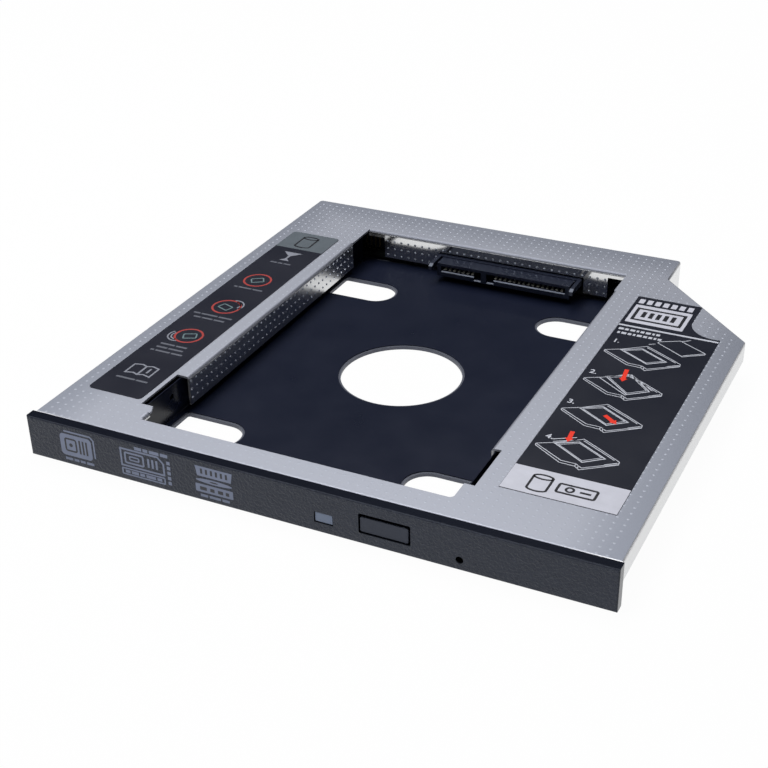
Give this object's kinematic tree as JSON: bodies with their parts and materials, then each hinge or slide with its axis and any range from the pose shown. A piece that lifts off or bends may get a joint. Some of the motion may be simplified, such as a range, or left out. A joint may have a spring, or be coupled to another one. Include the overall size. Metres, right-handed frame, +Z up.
{
  "type": "laptop drive caddy",
  "caption": "Slim sheet metal caddy that holds a small drive in an open bay and slides into a laptop's optical drive slot.",
  "frame": {"origin": "middle of the overall outline seen from above, at the underside", "axes": "+X to the right along the bezel, +Y from the bezel to the rear connector, +Z up out of the drive bay"},
  "size_m": [0.129, 0.1294, 0.0096],
  "materials": {
    "aluminium_sheet": "satin, bright at the folds",
    "black_coated_steel": "satin black",
    "polyester_film": "glossy black film",
    "bezel_plastic": "fine spark texture",
    "window_plastic": "pale and translucent",
    "connector_plastic": "moulded black",
    "gold_plate": "gold plated",
    "left_label_film": "printed film",
    "right_label_film": "printed film",
    "circuit_board": "solder mask",
    "capacitor_ceramic": "fired ceramic",
    "screw_steel": "black zinc",
    "nut_steel": "zinc plated"
  },
  "bodies": {
    "caddy": {"top_frame": "aluminium_sheet", "bottom_tray": "black_coated_steel", "bay_liner": "polyester_film", "bezel": "bezel_plastic", "indicator_window": "window_plastic", "drive_connector": "connector_plastic", "signal_contacts": "gold_plate", "power_contacts": "gold_plate", "left_label": "left_label_film", "right_label": "right_label_film", "adapter_board": "circuit_board", "host_connector": "connector_plastic", "host_signal_contacts": "gold_plate", "host_power_contacts": "gold_plate", "board_capacitors": "capacitor_ceramic", "board_screws": "screw_steel", "frame_screws": "screw_steel", "bezel_screws": "screw_steel", "rear_nuts": "nut_steel"},
    "button": {"eject_button": "bezel_plastic"}
  },
  "joints": [
    {"name": "button_press", "type": "hinge", "parent": "caddy", "child": "button", "pos_m": [0.00054, -0.06042, 0.00454], "axis": [0, 0, 1], "range_deg": [0, 1.9], "stiffness_Nm_per_rad": 0.3, "springref_deg": -1.15}
  ]
}
